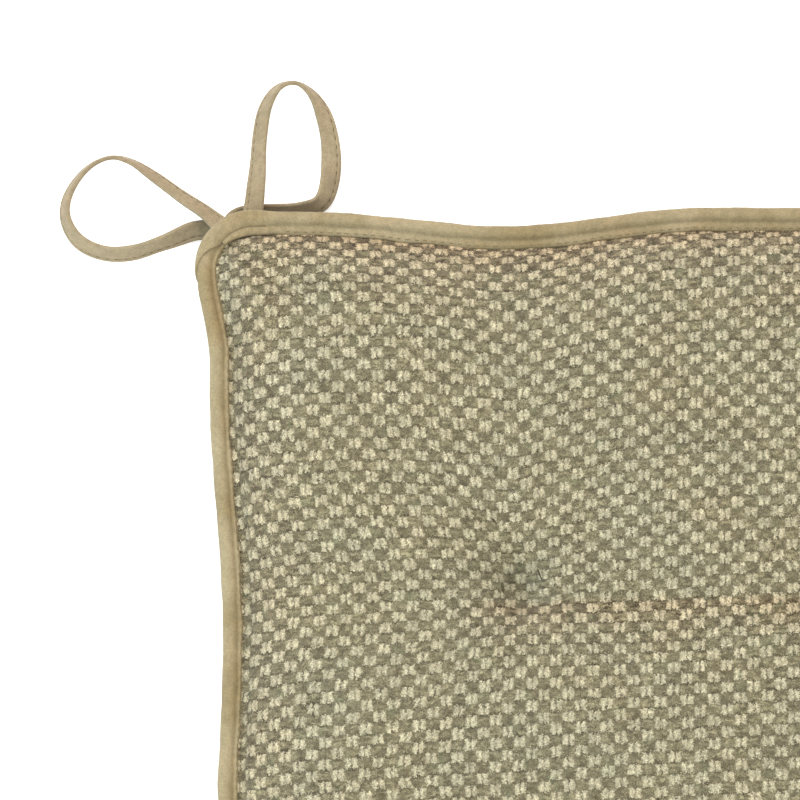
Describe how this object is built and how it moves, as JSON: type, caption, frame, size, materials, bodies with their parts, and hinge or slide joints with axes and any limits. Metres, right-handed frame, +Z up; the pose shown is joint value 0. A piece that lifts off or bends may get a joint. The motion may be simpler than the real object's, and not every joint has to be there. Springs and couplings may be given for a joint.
{
  "type": "seat cushion",
  "caption": "Square tufted seat cushion in basket-weave fabric with a corded bias binding and folded tape ties at the rear corners.",
  "frame": {"origin": "middle of the flat underside, on the surface the cushion lies on", "axes": "+Z up, +Y towards the rear edge that carries the ties, +X to the right as the sitter faces forward from behind the cushion's front edge"},
  "size_m": [0.5012, 0.454, 0.044],
  "materials": {
    "weave": "matte",
    "binding": "matte",
    "tie_tape": "matte",
    "foam": "matte",
    "wadding": "matte",
    "filler_cord": "matte",
    "thread": "matte",
    "tuft_thread": "matte"
  },
  "bodies": {
    "root": {"top_cover": "weave", "bottom_cover": "weave", "top_wadding": "wadding", "foam_core": "foam", "bottom_wadding": "wadding", "piping_cord": "filler_cord", "edge_binding": "binding", "binding_lap": "binding", "binding_stitching": "thread", "tuft_thread_rear_left": "tuft_thread", "tuft_thread_rear_right": "tuft_thread", "tuft_thread_front_left": "tuft_thread", "tuft_thread_front_right": "tuft_thread", "left_side_tie": "tie_tape", "left_rear_tie": "tie_tape", "right_side_tie": "tie_tape", "right_rear_tie": "tie_tape", "left_tie_tack": "thread", "right_tie_tack": "thread"}
  },
  "joints": []
}
